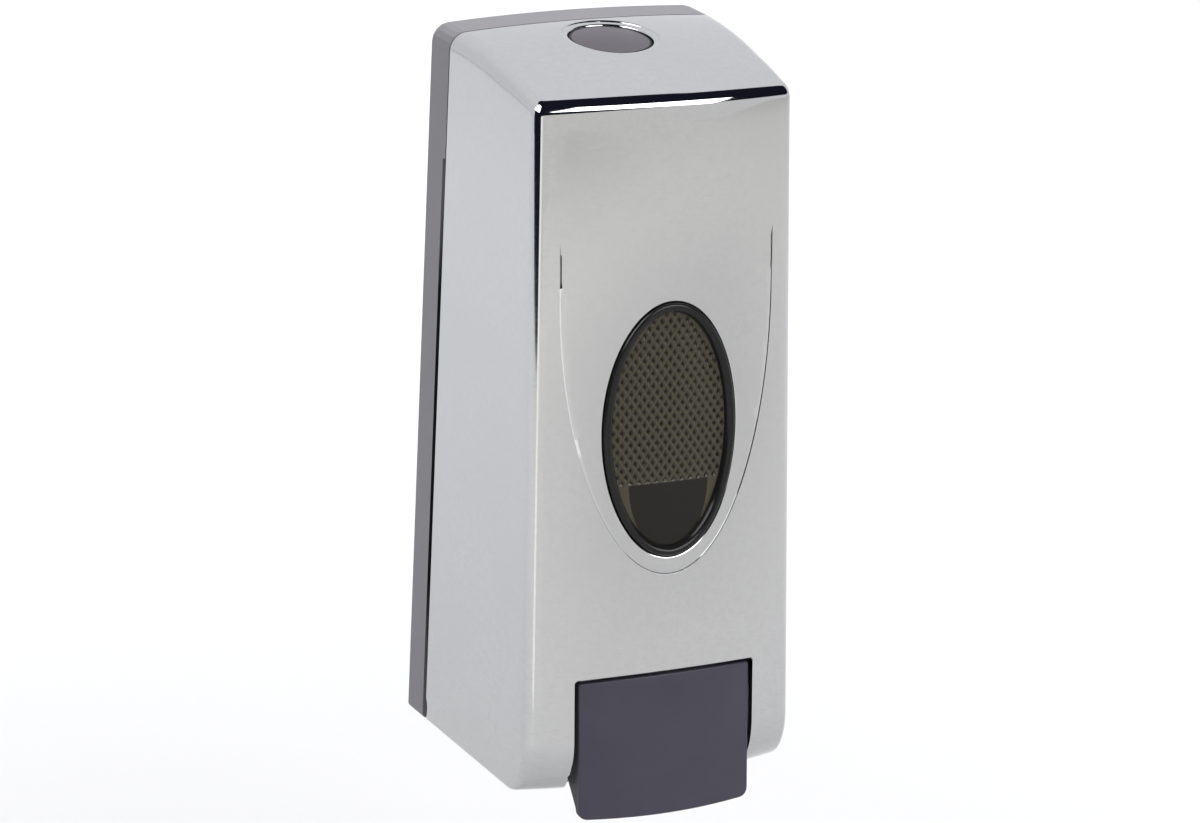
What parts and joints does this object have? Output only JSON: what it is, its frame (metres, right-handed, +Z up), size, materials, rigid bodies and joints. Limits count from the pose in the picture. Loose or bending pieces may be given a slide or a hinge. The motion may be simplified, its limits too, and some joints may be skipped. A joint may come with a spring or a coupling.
{
  "type": "wall soap dispenser",
  "caption": "Wall soap dispenser: leaning chrome cover on a grey back plate, oval smoked window, push lever at the foot driving a piston pump, latch button on top.",
  "frame": {"origin": "centre of the four wall screws, on the wall's surface", "axes": "+Y into the wall, +Z up, +X to the right as seen from the front; the front faces -Y"},
  "size_m": [0.088, 0.0896, 0.223],
  "materials": {
    "chrome": "chrome plated moulding",
    "grey_plastic": "satin grey moulding",
    "slate_plastic": "satin slate moulding",
    "smoked_lens": "smoked gloss moulding",
    "steel": "bright steel",
    "rubber": "matt black rubber",
    "tank_plastic": "milky translucent moulding",
    "white_plastic": "white acetal"
  },
  "bodies": {
    "wall_unit": {"back_plate": "grey_plastic", "hinge_pins": "steel", "keeper_strip": "steel", "keeper_screw": "steel", "tank": "tank_plastic", "outlet_grommet": "rubber", "pump_body": "white_plastic", "pump_screws": "steel", "inlet_seat": "white_plastic", "pump_gland": "grey_plastic", "pump_spring": "steel", "outlet_valve": "rubber", "nozzle": "grey_plastic"},
    "cover": {"front_cover": "chrome", "window_lens": "smoked_lens", "lens_retainer": "grey_plastic", "lens_screws": "steel", "lever_pin": "steel", "button_cage": "grey_plastic", "cage_screws": "steel", "button_spring": "steel"},
    "lever": {"push_lever": "slate_plastic"},
    "button": {"latch_button": "grey_plastic"},
    "piston": {"piston_rod": "white_plastic", "piston_seal": "rubber", "press_cap": "grey_plastic"},
    "cap": {"filler_cap": "grey_plastic", "cap_gasket": "rubber"},
    "ball": {"inlet_ball": "steel"}
  },
  "joints": [
    {"name": "cover_swing", "type": "hinge", "parent": "wall_unit", "child": "cover", "pos_m": [0, -0.0075, -0.11102], "axis": [1, 0, 0], "range_deg": [0, 80], "deforming": ["keeper_strip"]},
    {"name": "lever_press", "type": "hinge", "parent": "cover", "child": "lever", "pos_m": [0, -0.075, -0.08403], "axis": [1, 0, 0], "range_deg": [0, 16], "stiffness_Nm_per_rad": 0.25, "springref_deg": -6.88},
    {"name": "pump_stroke", "type": "slide", "parent": "wall_unit", "child": "piston", "axis": [0, 1, 0], "range_m": [0, 0.0048], "deforming": ["pump_spring"]},
    {"name": "button_press", "type": "slide", "parent": "cover", "child": "button", "axis": [0, 0.0875, -0.9962], "range_m": [0, 0.0045], "stiffness_N_per_m": 700, "springref_m": -0.003, "deforming": ["button_spring"]},
    {"name": "cap_turn", "type": "hinge", "parent": "wall_unit", "child": "cap", "pos_m": [0, -0.034, 0.06897], "axis": [0, 0, 1], "range_deg": [0, 90]},
    {"name": "ball_lift", "type": "slide", "parent": "wall_unit", "child": "ball", "axis": [0, 0, 1], "range_m": [0, 0.0026]}
  ],
  "couplings": [
    {"joint": "pump_stroke", "follows": "lever_press", "m_per_rad": 0.017}
  ]
}
